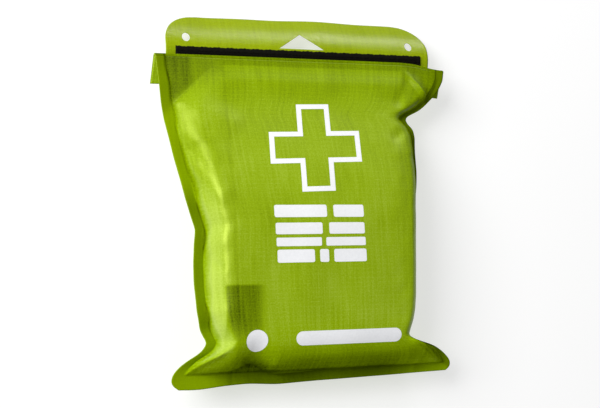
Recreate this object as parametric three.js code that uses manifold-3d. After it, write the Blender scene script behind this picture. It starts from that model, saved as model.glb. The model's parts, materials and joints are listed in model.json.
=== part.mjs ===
// First aid kit: a weather-tight pouch of coated ripstop fabric with its dressings and tools inside.
// The pouch is two fabric panels welded together along the sides and the bottom. Its neck folds back
// behind the body, and the back panel runs on past the mouth as a flap that stands up behind the fold.
// Hook tape on the flap and loop tape on the neck hold the fold closed.
//
// Millimetres. X runs across the kit, Y from the bottom weld towards the flap, and Z is up: the kit
// lies on its back, with the origin on the surface under the middle of it.
import * as THREE from 'three';
import Module from 'manifold-3d';
import { mergeVertices } from 'three/addons/utils/BufferGeometryUtils.js';

const wasm = await Module();
wasm.setup();

// ---- Driving dimensions -------------------------------------------------------------------------

const WIDTH = 160; // flat width of the pouch, welds included
const BODY_LENGTH = 170; // bottom edge to the top fold
const WELD = 7; // width of the weld round the body
const BULGE = 20; // how far each panel stands off the weld
const THROAT = 1.2; // how far the front panel stands off the weld at the fold, to pass the leaflet
const FABRIC = 0.6;
const GAP = 0.3; // between faces that touch
const NECK_LENGTH = 16.5; // top fold to the mouth, folded back behind the body
const NECK_TILT = THREE.MathUtils.degToRad(14); // how far the folded neck hangs off the back panel
const FLAP_RISE = 19.5; // how far the flap stands past the top fold
const FLAP_WIDTH = 148;
const FLAP_THICKNESS = 0.8;
const FLAP_CORNER = 16;
const HOLE_RADIUS = 2.15;
const HOLE_SPACING = 126; // between the two hanging holes
const HOLE_DROP = 9; // hole centre below the flap's top edge
const ARROW_WIDTH = 25; // the triangular cut-out that points the way to pull
const ARROW_HEIGHT = 7.7;
const ARROW_DROP = 6.3; // its tip below the flap's top edge
const TAPE_LENGTH = 138; // hook and loop tapes
const TAPE_THICKNESS = 1.2;
const HOOK_WIDTH = 18;
const HOOK_RISE = 3; // how much of the hook tape shows past the top fold
const LOOP_WIDTH = 14;

const FOLD_CLEARANCE = 0.8; // panels and neck layers stop this far short of the fold line
const PANEL_LENGTH = BODY_LENGTH - WELD - FOLD_CLEARANCE;
const HALF_GAP = GAP / 2;
const MID_Z = BULGE + FABRIC + HALF_GAP; // plane of the welds
const FOLD_Z = MID_Z - FABRIC - GAP; // the neck turns about this height

// The closed stack behind the fold, from the back panel downwards: the height of each layer's top
// above the line that the neck turns about.
const NECK_BACK_TOP = -HALF_GAP;
const NECK_FRONT_TOP = NECK_BACK_TOP - FABRIC - GAP;
const LOOP_TOP = NECK_FRONT_TOP - FABRIC - GAP;
const HOOK_TOP = LOOP_TOP - TAPE_THICKNESS - GAP;
const FLAP_TOP = HOOK_TOP - TAPE_THICKNESS - GAP;
const FLAP_BOTTOM = FLAP_TOP - FLAP_THICKNESS;

const FLAP_REACH = FLAP_RISE * Math.cos(NECK_TILT) - FLAP_BOTTOM * Math.sin(NECK_TILT);
const BOTTOM_Y = -(BODY_LENGTH + FLAP_REACH) / 2;
const WELD_Y = BOTTOM_Y + WELD; // inner line of the bottom weld
const FOLD_Y = BOTTOM_Y + BODY_LENGTH;

const COLOURS = {
  fabric: [0x93ad12, 0.55, 0],
  flap: [0x9bb322, 0.4, 0],
  tape: [0x141412, 0.95, 0],
  paper: [0xeceae2, 0.8, 0],
  film: [0xd9e4ea, 0.35, 0],
  foil: [0xc9a24a, 0.25, 1],
  gauze: [0xf2efe6, 0.95, 0],
  plaster: [0xd8a982, 0.7, 0],
  steel: [0xb9bcc0, 0.3, 1],
  grip: [0x23282b, 0.5, 0],
};

const kit = new THREE.Group();
const closure = new THREE.Group(); // the folded-back neck with its tapes and the flap
closure.position.set(0, FOLD_Y, FOLD_Z);
closure.rotation.x = NECK_TILT;
kit.add(closure);

function addMesh(name, geometry, colour, x = 0, y = 0, z = 0, parent = kit) {
  const [color, roughness, metalness] = COLOURS[colour];
  const mesh = new THREE.Mesh(geometry, new THREE.MeshStandardMaterial({ color, roughness, metalness }));
  mesh.name = name;
  mesh.position.set(x, y, z);
  parent.add(mesh);
}

function addToClosure(name, geometry, colour, y, z) {
  addMesh(name, geometry, colour, 0, y, z, closure);
}

// ---- Solids with manifold-3d ---------------------------------------------------------------------

function toSolid(geometry) {
  const bare = geometry.clone();
  bare.deleteAttribute('normal');
  bare.deleteAttribute('uv');
  const merged = mergeVertices(bare, 1e-4);
  return new wasm.Manifold(new wasm.Mesh({
    numProp: 3,
    vertProperties: merged.attributes.position.array,
    triVerts: new Uint32Array(merged.index.array),
  }));
}

function toGeometry(solid) {
  const { vertProperties, triVerts } = solid.getMesh();
  return new THREE.BufferGeometry()
    .setAttribute('position', new THREE.BufferAttribute(vertProperties, 3))
    .setIndex(new THREE.BufferAttribute(triVerts, 1));
}

// ---- Sheets and sachets ----------------------------------------------------------------------------

// A closed sheet: a box of one layer of cells, whose corners place(u, v, side) puts where they belong.
// u and v run from 0 to 1 across and along, and side is 1 on the face that looks up and 0 underneath.
function sheet(columns, rows, place) {
  const geometry = new THREE.BoxGeometry(1, 1, 1, columns, rows, 1);
  const position = geometry.attributes.position;
  for (let i = 0; i < position.count; i++) {
    const point = place(position.getX(i) + 0.5, position.getY(i) + 0.5, position.getZ(i) + 0.5);
    position.setXYZ(i, point.x, point.y, point.z);
  }
  return geometry;
}

// A sealed sachet: a flat seam all round, and a filled middle.
function sachet(width, length, thickness, seam = 4) {
  const seamThickness = 0.5;
  const rise = 7; // the filling reaches its full height this far inside the seam
  const spread = (t) => Math.sign(t) * (1 - (1 - Math.abs(t)) ** 1.7) / 2;
  const fill = (offset, size) => {
    const inside = (size / 2 - Math.abs(offset) - seam) / rise;
    return Math.sqrt(THREE.MathUtils.clamp(inside, 0, 1));
  };
  return sheet(5, 5, (u, v, side) => {
    const x = spread(2 * u - 1) * width;
    const y = spread(2 * v - 1) * length;
    const height = seamThickness + (thickness - seamThickness) * fill(x, width) * fill(y, length);
    return new THREE.Vector3(x, y, (side - 0.5) * height);
  });
}

function plate(shape, thickness, curveSegments = 8) {
  return new THREE.ExtrudeGeometry(shape, { depth: thickness, bevelEnabled: false, curveSegments });
}

function polygon(points) {
  return new THREE.Shape(points.map(([x, y]) => new THREE.Vector2(x, y)));
}

// ---- Body of the pouch -----------------------------------------------------------------------------

// Half the flat width at a distance from the inner line of the bottom weld: full at the bottom corners
// and the fold, drawn in where the filling pulls the sides together, and most just above the corners.
const sideLine = new THREE.SplineCurve([
  new THREE.Vector2(-WELD, 70),
  new THREE.Vector2(-WELD + 1.5, 75),
  new THREE.Vector2(-WELD + 4, 76.5),
  new THREE.Vector2(0, 74.5),
  new THREE.Vector2(6, 66),
  new THREE.Vector2(16, 61),
  new THREE.Vector2(35, 62),
  new THREE.Vector2(70, 62.5),
  new THREE.Vector2(105, 67),
  new THREE.Vector2(135, 74),
  new THREE.Vector2(PANEL_LENGTH, WIDTH / 2),
]).getSpacedPoints(120);

function halfWidth(along) {
  const next = sideLine.findIndex((point) => point.x >= along);
  if (next === 0) return sideLine[0].y;
  if (next < 0) return WIDTH / 2;
  const [a, b] = [sideLine[next - 1], sideLine[next]];
  return THREE.MathUtils.mapLinear(along, a.x, b.x, a.y, b.y);
}

// Height of a panel above the welds along its middle: steep at the bottom, full over the packets, and
// easing down to the height it keeps at the fold.
function crown(along, throat) {
  const footLength = 30;
  const footPower = 2.6;
  const crest = 75;
  if (along <= 0) return 0;
  if (along < footLength) return BULGE * (1 - (1 - along / footLength) ** footPower) ** (1 / footPower);
  return THREE.MathUtils.lerp(BULGE, throat, THREE.MathUtils.smoothstep(along, crest, PANEL_LENGTH));
}

// The cross-section is a boxy oval whose top is cut flat, so that the pouch can lie on its back.
const SECTION_POWER = 1 / 3;
const FLAT_TOP = 1.02;
const roundedTop = (cosine) => Math.min(1, FLAT_TOP * Math.max(cosine, 0) ** SECTION_POWER);

// Height of a panel's outer face above the weld's outer face, anywhere on the body.
function panelHeight(x, along, throat) {
  const reach = Math.min(Math.abs(x) / (halfWidth(along) - WELD), 1);
  return crown(along, throat) * roundedTop(Math.sqrt(1 - reach ** (2 / SECTION_POWER)));
}

const WELD_ROWS = 3;
const BODY_ROWS = 18;
const HALF_COLUMNS = 10; // the outermost of them is the weld

function alongAt(v) {
  const row = v * (WELD_ROWS + BODY_ROWS);
  if (row <= WELD_ROWS) return -WELD + WELD * (row / WELD_ROWS) ** 1.4;
  const t = (row - WELD_ROWS) / BODY_ROWS;
  return PANEL_LENGTH * t ** (1.7 - 0.6 * t);
}

// A point of a panel's outer face, with height 0 on the weld.
function outerPoint(u, v, throat) {
  const along = alongAt(v);
  const across = 2 * u - 1;
  const weldShare = 1 / HALF_COLUMNS;
  const inner = halfWidth(along) - WELD;
  const side = Math.sign(across);
  const intoWeld = (Math.abs(across) - (1 - weldShare)) / weldShare;
  if (intoWeld >= 0) return new THREE.Vector3(side * (inner + WELD * intoWeld), WELD_Y + along, 0);
  const turn = (Math.abs(across) / (1 - weldShare)) * (Math.PI / 2);
  const x = inner * Math.sin(turn) ** SECTION_POWER;
  return new THREE.Vector3(side * x, WELD_Y + along, crown(along, throat) * roundedTop(Math.cos(turn)));
}

function outerNormal(u, v, throat) {
  const step = 0.004;
  const across = [u - step, u + step].map((at) => outerPoint(THREE.MathUtils.clamp(at, 0, 1), v, throat));
  const up = [v - step, v + step].map((at) => outerPoint(u, THREE.MathUtils.clamp(at, 0, 1), throat));
  return across[1].sub(across[0]).cross(up[1].sub(up[0])).normalize();
}

// A panel is modelled face up. The back panel is then turned over about the plane of the welds.
function panel(throat, facing) {
  return sheet(2 * HALF_COLUMNS, WELD_ROWS + BODY_ROWS, (u, v, side) => {
    const point = outerPoint(u, v, throat);
    const isInner = facing > 0 ? side < 0.5 : side > 0.5;
    if (isInner) point.addScaledVector(outerNormal(u, v, throat), -FABRIC);
    point.z = MID_Z + facing * (HALF_GAP + FABRIC + point.z);
    return point;
  });
}

addMesh('front_panel', panel(THROAT, 1), 'fabric');
addMesh('back_panel', panel(0, -1), 'fabric');

// ---- Neck, tapes and flap ------------------------------------------------------------------------------

function neckLayer(length) {
  return new THREE.BoxGeometry(WIDTH, length, FABRIC).translate(0, -length / 2, -FABRIC / 2);
}

function fasteningTape(width) {
  const geometry = new THREE.BoxGeometry(TAPE_LENGTH, width, TAPE_THICKNESS);
  return geometry.translate(0, -width / 2, -TAPE_THICKNESS / 2);
}

function flapShape() {
  const half = FLAP_WIDTH / 2;
  const cornerX = half - FLAP_CORNER;
  const cornerY = FLAP_RISE - FLAP_CORNER;
  const shape = new THREE.Shape();
  shape.moveTo(-half, -NECK_LENGTH);
  shape.lineTo(half, -NECK_LENGTH);
  shape.lineTo(half, cornerY);
  shape.absarc(cornerX, cornerY, FLAP_CORNER, 0, Math.PI / 2);
  shape.absarc(-cornerX, cornerY, FLAP_CORNER, Math.PI / 2, Math.PI);
  shape.closePath();
  for (const side of [-1, 1]) {
    const hole = new THREE.Path();
    hole.absarc((side * HOLE_SPACING) / 2, FLAP_RISE - HOLE_DROP, HOLE_RADIUS, 0, 2 * Math.PI, true);
    shape.holes.push(hole);
  }
  const tip = FLAP_RISE - ARROW_DROP;
  shape.holes.push(new THREE.Path([
    new THREE.Vector2(-ARROW_WIDTH / 2, tip - ARROW_HEIGHT),
    new THREE.Vector2(0, tip),
    new THREE.Vector2(ARROW_WIDTH / 2, tip - ARROW_HEIGHT),
  ]));
  return shape;
}

const NECK_START = -FOLD_CLEARANCE;
const LOOP_START = -1.2;
const MOUTH_STEP = 1.2; // the front layer of the neck is cut this much shorter than the back one

addToClosure('neck_back_layer', neckLayer(NECK_LENGTH - FOLD_CLEARANCE), 'fabric', NECK_START, NECK_BACK_TOP);
addToClosure('neck_front_layer', neckLayer(NECK_LENGTH - FOLD_CLEARANCE - MOUTH_STEP), 'fabric', NECK_START,
  NECK_FRONT_TOP);
addToClosure('loop_tape', fasteningTape(LOOP_WIDTH), 'tape', LOOP_START, LOOP_TOP);
addToClosure('hook_tape', fasteningTape(HOOK_WIDTH), 'tape', HOOK_RISE, HOOK_TOP);
addToClosure('closure_flap', plate(flapShape(), FLAP_THICKNESS), 'flap', 0, FLAP_BOTTOM);

// ---- Dressings -----------------------------------------------------------------------------------------

const LAYER_GAP = 0.4;
const STACK_BOTTOM = WELD_Y + 16; // the stack of packets starts this far up the pouch
const STACK_LENGTH = 66;
const FLOOR_Z = 1.3; // first free height above the back panel

let level = FLOOR_Z;

// Lays a sachet on the stack, and says how high its top is.
function addSachet(name, colour, [width, length, thickness, seam], x, bottom = level) {
  const y = STACK_BOTTOM + length / 2;
  addMesh(name, sachet(width, length, thickness, seam), colour, x, y, bottom + thickness / 2);
  return bottom + thickness + LAYER_GAP;
}

level = addSachet('triangular_bandage_pack', 'paper', [94, STACK_LENGTH, 7], 0);
level = addSachet('rescue_blanket_pack', 'foil', [92, STACK_LENGTH - 2, 7], 0);
addSachet('wound_dressing_pack_left', 'paper', [45, STACK_LENGTH, 8], -24);
level = addSachet('wound_dressing_pack_right', 'paper', [45, STACK_LENGTH, 8], 24);
level = addSachet('compress_pack_back', 'paper', [84, STACK_LENGTH - 1, 1, 6], 0);
level = addSachet('compress_pack_front', 'paper', [84, STACK_LENGTH - 2, 1, 6], 0);
level = addSachet('face_shield_pack', 'film', [80, STACK_LENGTH - 2, 1, 6], 0);

const TOOL_LEVEL = level; // the tools lie in one layer of their own
const TOOL_LAYER = 4.2;
level += TOOL_LAYER + LAYER_GAP;

let plasterLevel = level;
for (const place of ['back', 'middle', 'front']) {
  plasterLevel = addSachet(`plaster_sachet_${place}`, 'paper', [27, 64, 0.6, 2], -28, plasterLevel);
}
let wipeLevel = level;
for (const place of ['back', 'front']) {
  wipeLevel = addSachet(`wipe_sachet_${place}`, 'film', [50, 58, 1, 5], 14, wipeLevel);
}

// Rolls lie across the pouch above the stack, on one line.
const ROLL_RADIUS = 11.5;
const ROLL_Y = WELD_Y + 95;
const ROLL_Z = MID_Z - 1;
const SPOOL_RADIUS = 8;
const TAPE_ROLL_X = 28;

function drum(radius, length, edge, bore = 0) {
  const half = length / 2;
  const profile = [[bore, -half], [radius - edge, -half], [radius, edge - half], [radius, half - edge],
    [radius - edge, half], [bore, half]];
  if (bore) profile.push([bore, -half]);
  const points = profile.map(([x, y]) => new THREE.Vector2(x, y));
  return new THREE.LatheGeometry(points, 20).rotateZ(-Math.PI / 2);
}

const adhesiveTape = drum(ROLL_RADIUS, 12.5, 0.4, SPOOL_RADIUS + GAP);
addMesh('bandage_roll', drum(ROLL_RADIUS, 60, 1.5), 'gauze', -12, ROLL_Y, ROLL_Z);
addMesh('adhesive_tape_roll', adhesiveTape, 'plaster', TAPE_ROLL_X, ROLL_Y, ROLL_Z);
addMesh('adhesive_tape_spool', drum(SPOOL_RADIUS, 13, 0.5), 'film', TAPE_ROLL_X, ROLL_Y, ROLL_Z);
addMesh('glove_pack', sachet(80, 21, 8, 2), 'film', 0, WELD_Y + 118, MID_Z - 1.5);

// The printed leaflet lies against the front panel and follows it up to the fold.
const LEAFLET_WIDTH = 92;
const LEAFLET_X = 4;
const LEAFLET_BOTTOM = 62;
const LEAFLET_TOP = PANEL_LENGTH - 7;
const LEAFLET_THICKNESS = 0.6;
const LEAFLET_CLEARANCE = 0.35;

function leaflet() {
  const inside = MID_Z + HALF_GAP - LEAFLET_CLEARANCE; // the panel's inner face stands on its weld here
  return sheet(10, 12, (u, v, side) => {
    const x = LEAFLET_X + (u - 0.5) * LEAFLET_WIDTH;
    const along = THREE.MathUtils.lerp(LEAFLET_BOTTOM, LEAFLET_TOP, v);
    const top = inside + panelHeight(x, along, THROAT);
    return new THREE.Vector3(x, WELD_Y + along, top - (1 - side) * LEAFLET_THICKNESS);
  });
}
addMesh('first_aid_leaflet', leaflet(), 'paper');

// ---- Scissors --------------------------------------------------------------------------------------------

const SCISSORS = new THREE.Vector3(4, STACK_BOTTOM + 25, TOOL_LEVEL + TOOL_LAYER / 2);
const BLADE = 1.2;
const PIN_RADIUS = 2;
const GRIP = 3.8;

// Half of the scissors with its blade on the left of the pivot and its tang on the right.
function bladeShape() {
  const shape = polygon([[0.4, -34], [1.1, -8], [4.2, -4], [4.2, 2], [6.4, 7], [9.6, 19],
    [4.6, 20], [1.4, 9], [-4.6, 4], [-5.8, -4], [-5.2, -18], [-0.5, -35]]);
  const eye = new THREE.Path();
  eye.absarc(0, 0, PIN_RADIUS + 0.1, 0, 2 * Math.PI, true);
  shape.holes.push(eye);
  return shape;
}

// The finger ring and the neck that joins it to the tang, with a pocket that the tang sits in.
function gripSolid(bladeBottom) {
  const ring = new THREE.Shape();
  ring.absellipse(10.5, 29, 9.6, 11.8, 0, 2 * Math.PI);
  const finger = new THREE.Path();
  finger.absellipse(10.5, 29, 6.4, 8.6, 0, 2 * Math.PI, true);
  ring.holes.push(finger);
  const neck = polygon([[1.6, 13], [9.8, 12], [12.5, 20], [4.2, 23]]);
  const pocket = polygon([[0.6, 6], [4, 20.8], [10.6, 19.7], [7.8, 6]]);
  const pocketDepth = BLADE + 2 * GAP;
  const solids = [plate(ring, GRIP, 12), plate(neck, GRIP)].map((geometry) =>
    toSolid(geometry.translate(0, 0, -GRIP / 2)));
  const cut = toSolid(plate(pocket, pocketDepth).translate(0, 0, bladeBottom - GAP));
  return toGeometry(solids[0].add(solids[1]).subtract(cut));
}

function mirrored(geometry) {
  const flipped = geometry.index ? geometry.toNonIndexed() : geometry.clone();
  const position = flipped.attributes.position;
  for (let i = 0; i < position.count; i += 3) {
    const corners = [0, 1, 2].map((k) => new THREE.Vector3().fromBufferAttribute(position, i + k));
    [corners[0], corners[2], corners[1]].forEach((c, k) => position.setXYZ(i + k, -c.x, c.y, c.z));
  }
  return flipped;
}

const FIXED_BOTTOM = -BLADE - GAP / 2;
const MOVING_BOTTOM = GAP / 2;
const blade = plate(bladeShape(), BLADE);
const at = SCISSORS.toArray();
addMesh('scissors_fixed_blade', blade.clone().translate(0, 0, FIXED_BOTTOM), 'steel', ...at);
addMesh('scissors_fixed_grip', gripSolid(FIXED_BOTTOM), 'grip', ...at);
addMesh('scissors_moving_blade', mirrored(blade.clone().translate(0, 0, MOVING_BOTTOM)), 'steel', ...at);
addMesh('scissors_moving_grip', mirrored(gripSolid(MOVING_BOTTOM)), 'grip', ...at);

function rivet() {
  const headRadius = 3.4;
  const face = BLADE + 1.5 * GAP; // where a head starts, clear of the blade
  const top = TOOL_LAYER / 2;
  const profile = [[0, -top], [headRadius, -top], [headRadius, -face], [PIN_RADIUS, -face],
    [PIN_RADIUS, face], [headRadius, face], [headRadius, top], [0, top]];
  return new THREE.LatheGeometry(profile.map(([x, y]) => new THREE.Vector2(x, y)), 16).rotateX(Math.PI / 2);
}
addMesh('scissors_rivet', rivet(), 'steel', ...at);

// ---- Tweezers and safety pins --------------------------------------------------------------------------

const TWEEZERS = new THREE.Vector3(40, STACK_BOTTOM + 62, TOOL_LEVEL + 0.2);
const TWEEZERS_LENGTH = 60;
const TWEEZERS_HEIGHT = 3.8;

// One arm of the tweezers, hanging from its welded end at the origin and bowed outwards to the right.
function tweezersArm() {
  const steps = 8;
  const line = (offset) => Array.from({ length: steps + 1 }, (_, i) => {
    const t = i / steps;
    return [offset + 0.25 + 3.4 * Math.sin(Math.min(t * 1.15, 1) * Math.PI * 0.62), -t * TWEEZERS_LENGTH];
  });
  return plate(polygon([...line(0), ...line(1.1).reverse()]), TWEEZERS_HEIGHT);
}
addMesh('tweezers_right_arm', tweezersArm(), 'steel', ...TWEEZERS.toArray());
addMesh('tweezers_left_arm', mirrored(tweezersArm()), 'steel', ...TWEEZERS.toArray());

const PIN_LENGTH = 27;
const WIRE = 0.45;

// A safety pin: a wire bent back on itself at the spring end, with both ends in a flat cap.
function safetyPin() {
  const halfSpan = 2.6;
  const path = new THREE.CurvePath();
  const corner = PIN_LENGTH - halfSpan;
  const bend = Array.from({ length: 7 }, (_, i) => {
    const angle = Math.PI / 2 - (i * Math.PI) / 6;
    return new THREE.Vector3(corner + halfSpan * Math.cos(angle), halfSpan * Math.sin(angle), 0);
  });
  path.add(new THREE.LineCurve3(new THREE.Vector3(1, halfSpan, 0), bend[0]));
  path.add(new THREE.CatmullRomCurve3(bend));
  path.add(new THREE.LineCurve3(bend[6], new THREE.Vector3(1, -halfSpan, 0)));
  const section = new THREE.Shape();
  section.absarc(0, 0, WIRE, 0, 2 * Math.PI);
  const wire = new THREE.ExtrudeGeometry(section, { steps: 16, curveSegments: 4, extrudePath: path });
  const cap = new THREE.BoxGeometry(5, 7.4, 1.8).translate(2, 0, 0);
  return toGeometry(toSolid(wire).add(toSolid(cap)));
}
[['lower', 8], ['upper', 20]].forEach(([place, y]) => {
  addMesh(`safety_pin_${place}`, safetyPin(), 'steel', -42, STACK_BOTTOM + y, TOOL_LEVEL + 1.4);
});

export default kit;
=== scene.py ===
"""The looks of the first aid kit: a welded ripstop pouch, packed full, lying on its back.

The pouch's skin, flap and tapes are built here over the CAD frame, and stand for its plain fabric solids.
Lengths in this script are in millimetres of the part's own frame until they become mesh points.
"""

import json
import math

import bmesh
import bpy
import numpy as np
from mathutils import Matrix, Vector


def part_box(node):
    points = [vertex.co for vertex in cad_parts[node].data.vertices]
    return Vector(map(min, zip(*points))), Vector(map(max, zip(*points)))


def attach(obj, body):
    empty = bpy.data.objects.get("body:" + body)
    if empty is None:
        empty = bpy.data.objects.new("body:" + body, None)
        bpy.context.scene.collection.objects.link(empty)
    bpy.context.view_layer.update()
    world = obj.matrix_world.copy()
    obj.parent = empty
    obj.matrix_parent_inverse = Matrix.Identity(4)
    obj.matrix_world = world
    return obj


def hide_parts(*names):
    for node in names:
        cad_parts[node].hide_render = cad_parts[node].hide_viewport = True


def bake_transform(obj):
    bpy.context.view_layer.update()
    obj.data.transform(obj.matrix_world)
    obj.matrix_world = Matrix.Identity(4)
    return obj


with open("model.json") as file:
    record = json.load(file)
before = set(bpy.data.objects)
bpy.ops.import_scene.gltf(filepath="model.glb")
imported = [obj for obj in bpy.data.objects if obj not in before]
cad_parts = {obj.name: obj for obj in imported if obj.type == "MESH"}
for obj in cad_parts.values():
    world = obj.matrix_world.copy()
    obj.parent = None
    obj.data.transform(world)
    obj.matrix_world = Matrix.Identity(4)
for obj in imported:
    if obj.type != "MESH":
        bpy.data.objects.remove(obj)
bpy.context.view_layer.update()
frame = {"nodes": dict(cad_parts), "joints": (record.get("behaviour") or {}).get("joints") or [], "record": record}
MM = 0.001


# ---- The frame's own measures ----------------------------

def mm_box(node):
    low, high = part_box(node)
    return np.array(low) / MM, np.array(high) / MM


def joint_point(name):
    joint = next(j for j in frame["joints"] if j["name"] == name)
    return np.array(joint["pos_m"]) / MM


FRONT_LOW, FRONT_HIGH = mm_box("front_panel")
FOLD = joint_point("neck_fold")
MID_Z = FRONT_LOW[2] - 0.15  # plane of the welds
BOTTOM_Y = FRONT_LOW[1]
CREST_Z = FRONT_HIGH[2]
TILT = math.radians(14)  # how far the folded neck hangs off the back panel

# ---- Camera ----------------------------------------------

CAMERA_YAW = math.radians(17.4)
CAMERA_PITCH = math.radians(-6.6)  # towards its bottom
CAMERA_ROLL = math.radians(-2.15)
CAMERA_DISTANCE = 550
CAMERA_TARGET = Vector((-5.8, -3.4, 20))
LENS = 62.88
SENSOR = 36


def add_camera():
    data = bpy.data.cameras.new("camera")
    data.sensor_width = SENSOR
    data.lens = LENS
    data.clip_start = 0.01
    data.clip_end = 20
    camera = bpy.data.objects.new("camera", data)
    bpy.context.scene.collection.objects.link(camera)
    back = Vector((
        -math.sin(CAMERA_YAW) * math.cos(CAMERA_PITCH),
        math.sin(CAMERA_PITCH),
        math.cos(CAMERA_YAW) * math.cos(CAMERA_PITCH),
    ))
    right = Vector((0, 1, 0)).cross(back).normalized()
    up = back.cross(right)
    cosine, sine = math.cos(CAMERA_ROLL), math.sin(CAMERA_ROLL)
    axes = Matrix((right * cosine + up * sine, up * cosine - right * sine, back)).transposed()
    camera.matrix_world = Matrix.Translation((CAMERA_TARGET + back * CAMERA_DISTANCE) * MM) @ axes.to_4x4()
    bpy.context.scene.camera = camera


add_camera()


# ---- Small tools -----------------------------------------

def smoothstep(x, low, high):
    """0 below low, easing up to 1 at high."""
    t = np.clip((np.asarray(x, float) - low) / (high - low), 0, 1)
    return t * t * (3 - 2 * t)


def falls(x, low, high):
    """1 below low, easing down to 0 at high."""
    return 1 - smoothstep(x, low, high)


def bell(x, middle, width):
    return np.exp(-(((x - middle) / width) ** 2))


def curve_through(knots, blur=1.2):
    """A smooth function through (at, value) knots: straight runs, rounded over about blur on each side."""
    at, value = np.array(knots, float).T
    step = 0.25
    fine = np.arange(at[0] - 8 * blur, at[-1] + 8 * blur, step)
    run = np.interp(fine, at, value)
    reach = int(3 * blur / step)
    weight = np.exp(-0.5 * (np.arange(-reach, reach + 1) * step / blur) ** 2)
    held = np.concatenate([np.full(reach, run[0]), run, np.full(reach, run[-1])])
    run = np.convolve(held, weight / weight.sum(), mode="valid")
    return lambda x: np.interp(x, fine, run)


def line_distance(x, y, start, end):
    """Signed distance from a straight crease, and how far along it a point lies (0 to 1)."""
    (ax, ay), (bx, by) = start, end
    dx, dy = bx - ax, by - ay
    length = math.hypot(dx, dy)
    along = ((x - ax) * dx + (y - ay) * dy) / length**2
    across = ((x - ax) * dy - (y - ay) * dx) / length
    return across, along


def crease(x, y, start, end, height, width, fade=0.18):
    """A soft ridge along a line, or a groove if its height is negative, fading out at both ends."""
    across, along = line_distance(x, y, start, end)
    ends = smoothstep(along, -fade, fade) * falls(along, 1 - fade, 1 + fade)
    return height * bell(across, 0, width) * ends


def grid_faces(rows, columns, flip=False):
    index = np.arange(rows * columns).reshape(rows, columns)
    quads = np.stack([index[:-1, :-1], index[:-1, 1:], index[1:, 1:], index[1:, :-1]], -1).reshape(-1, 4)
    return quads[:, ::-1] if flip else quads


def new_piece(name, points, faces, material, smooth=True):
    mesh = bpy.data.meshes.new(name)
    mesh.from_pydata((np.asarray(points, float) * MM).tolist(), [], [list(map(int, f)) for f in faces])
    mesh.materials.append(material)
    mesh.validate()
    mesh.polygons.foreach_set("use_smooth", [smooth] * len(mesh.polygons))
    piece = bpy.data.objects.new(name, mesh)
    bpy.context.scene.collection.objects.link(piece)
    return piece


def give_attribute(piece, name, values):
    attribute = piece.data.attributes.new(name, "FLOAT", "POINT")
    attribute.data.foreach_set("value", np.asarray(values, np.float32).ravel())


def give_pattern(piece, across, along):
    """The flat-pattern coordinates, in metres, that the weave follows."""
    layer = piece.data.uv_layers.new(name="pattern")
    flat = np.stack([np.ravel(across), np.ravel(along)], -1) * MM
    loops = np.zeros(len(piece.data.loops), np.int32)
    piece.data.loops.foreach_get("vertex_index", loops)
    layer.data.foreach_set("uv", flat[loops].astype(np.float32).ravel())


def apply_modifiers(piece):
    bpy.context.view_layer.update()
    mesh = bpy.data.meshes.new_from_object(piece.evaluated_get(bpy.context.evaluated_depsgraph_get()))
    piece.modifiers.clear()
    old = piece.data
    piece.data = mesh
    bpy.data.meshes.remove(old)


def thicken(piece, thickness, offset=-1.0, edge=None):
    """Gives a sheet its thickness, by default away from its normals, and its cut edge a material."""
    modifier = piece.modifiers.new("thickness", "SOLIDIFY")
    modifier.thickness = thickness * MM
    modifier.offset = offset
    modifier.use_even_offset = False
    modifier.use_rim = True
    if edge:
        piece.data.materials.append(edge)
        modifier.material_offset_rim = 1
    apply_modifiers(piece)


# ---- Materials -------------------------------------------

class Nodes:
    """A short way to write a material's node tree."""

    def __init__(self, name):
        self.material = bpy.data.materials.new(name)
        self.material.use_nodes = True
        self.tree = self.material.node_tree
        self.shader = next(n for n in self.tree.nodes if n.type == "BSDF_PRINCIPLED")

    def add(self, kind, values=(), **settings):
        node = self.tree.nodes.new(kind)
        for key, value in settings.items():
            setattr(node, key, value)
        for socket, value in dict(values).items():
            self.put(node.inputs[socket], value)
        return node

    def put(self, socket, value):
        if isinstance(value, bpy.types.NodeSocket):
            self.tree.links.new(value, socket)
        elif isinstance(value, bpy.types.Node):
            self.tree.links.new(value.outputs[0], socket)
        else:
            socket.default_value = value

    def math(self, operation, a, b=0.0, c=0.0):
        return self.add("ShaderNodeMath", {0: a, 1: b, 2: c}, operation=operation)

    def mix(self, share, a, b):
        node = self.add("ShaderNodeMix", data_type="RGBA")
        self.put(node.inputs["Factor"], share)
        self.put(node.inputs["A"], a)
        self.put(node.inputs["B"], b)
        return node.outputs["Result"]

    def place(self):
        return self.add("ShaderNodeTexCoord").outputs["Object"]

    def noise(self, vector, scale, detail=2.0):
        return self.add("ShaderNodeTexNoise", {"Vector": vector, "Scale": scale, "Detail": detail}).outputs[0]

    def attribute(self, name):
        return self.add("ShaderNodeAttribute", attribute_name=name).outputs["Fac"]

    def bump(self, strength, depth, height):
        """Relief of the given depth in millimetres."""
        values = {"Strength": strength, "Distance": depth * MM, "Height": height}
        return self.add("ShaderNodeBump", values).outputs[0]

    def shade(self, **values):
        for name, value in values.items():
            self.put(self.shader.inputs[name.replace("_", " ")], value)
        return self.material


def rgb(red, green, blue):
    """An sRGB colour, 0 to 255, as the linear colour that a shader takes."""
    def linear(c):
        c /= 255
        return c / 12.92 if c <= 0.04045 else ((c + 0.055) / 1.055) ** 2.4
    return (linear(red), linear(green), linear(blue), 1)


def dulled(colour, share):
    return tuple(c * share for c in colour[:3]) + (1,)


THREAD = 0.45  # pitch of the plain threads
RIPSTOP = (3.35, 2.3)  # pitch of the thicker reinforcing threads, across and along


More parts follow.
